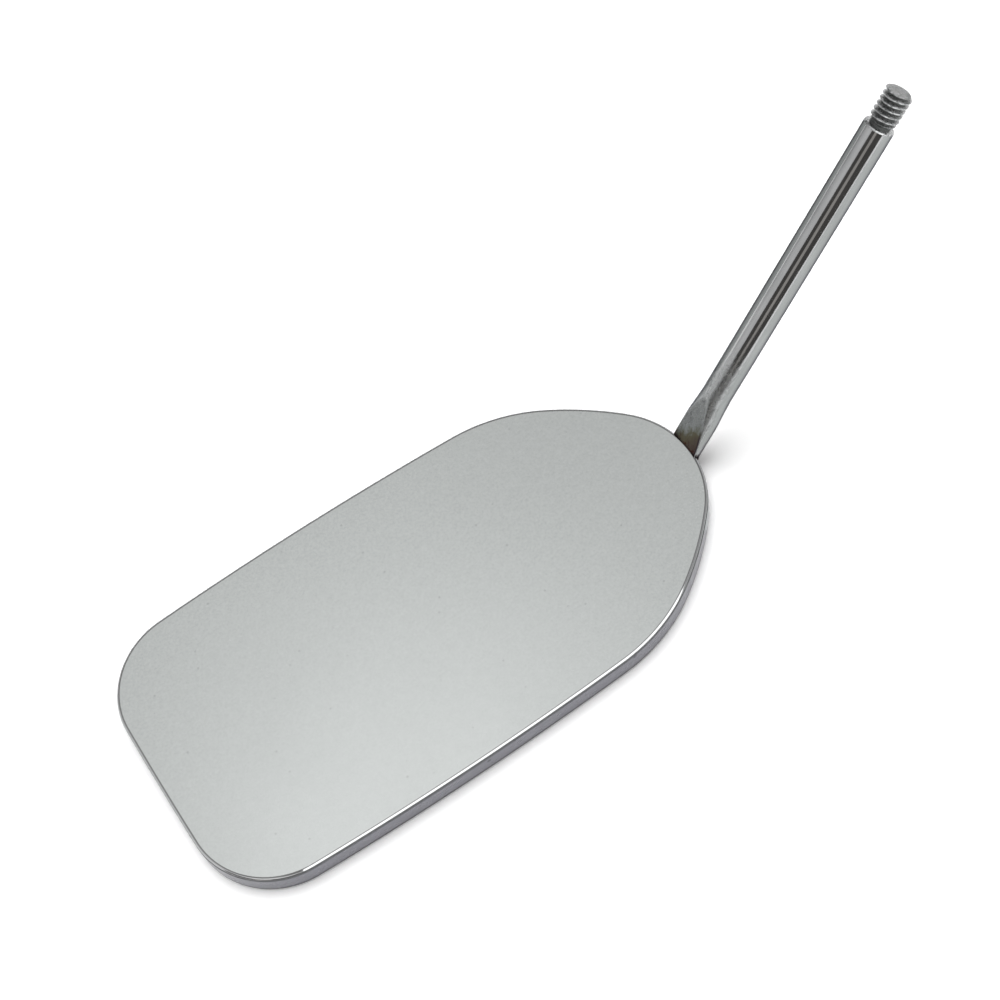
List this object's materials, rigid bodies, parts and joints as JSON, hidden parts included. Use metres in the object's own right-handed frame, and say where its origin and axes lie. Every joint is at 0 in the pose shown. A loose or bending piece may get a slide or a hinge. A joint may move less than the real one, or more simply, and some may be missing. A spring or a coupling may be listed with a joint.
{
  "type": "mouth mirror",
  "caption": "Paddle-shaped intraoral photographic mirror head of polished steel, with a threaded rod welded to its rounded end at an angle.",
  "frame": {"origin": "middle of the paddle's flat back face", "axes": "+Z out of the mirror face, +X along the paddle from its blunt end towards the rod; the rod rises in a plane parallel to XZ, 0.45 mm to its +Y side"},
  "size_m": [0.102, 0.0372, 0.0437],
  "materials": {
    "mirror_steel": "polished, mirror face",
    "rod_steel": "polished, heat tinted at the foot",
    "weld_metal": "heat tinted"
  },
  "bodies": {
    "root": {"mirror_plate": "mirror_steel", "stem": "rod_steel", "weld_bead": "weld_metal"}
  },
  "joints": []
}
